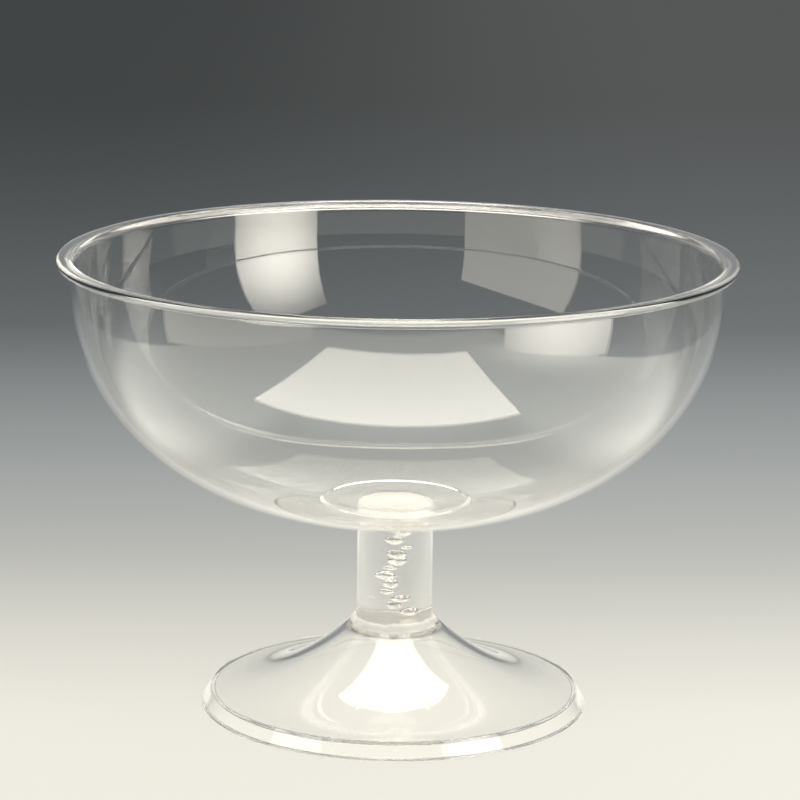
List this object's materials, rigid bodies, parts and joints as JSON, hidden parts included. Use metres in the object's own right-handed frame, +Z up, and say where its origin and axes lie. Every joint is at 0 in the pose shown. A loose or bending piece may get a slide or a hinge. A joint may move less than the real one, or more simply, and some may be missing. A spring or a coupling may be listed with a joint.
{
  "type": "punch bowl",
  "caption": "Clear footed punch bowl: deep round bowl with a rounded lip, cemented to a solid rod stem on a hollow trumpet-shaped foot.",
  "frame": {"origin": "on the table, under the middle of the foot", "axes": "+Z up along the axis of the foot, stem and bowl; the piece is round, so X and Y are free"},
  "size_m": [0.356, 0.356, 0.2431],
  "materials": {
    "clear_acrylic": "clear and polished, with a faint cream cast",
    "cement": "clear cement with trapped air, slightly cloudy"
  },
  "bodies": {
    "root": {"bowl": "clear_acrylic", "stem": "clear_acrylic", "foot": "clear_acrylic", "bowl_cement": "cement", "foot_cement": "cement"}
  },
  "joints": []
}
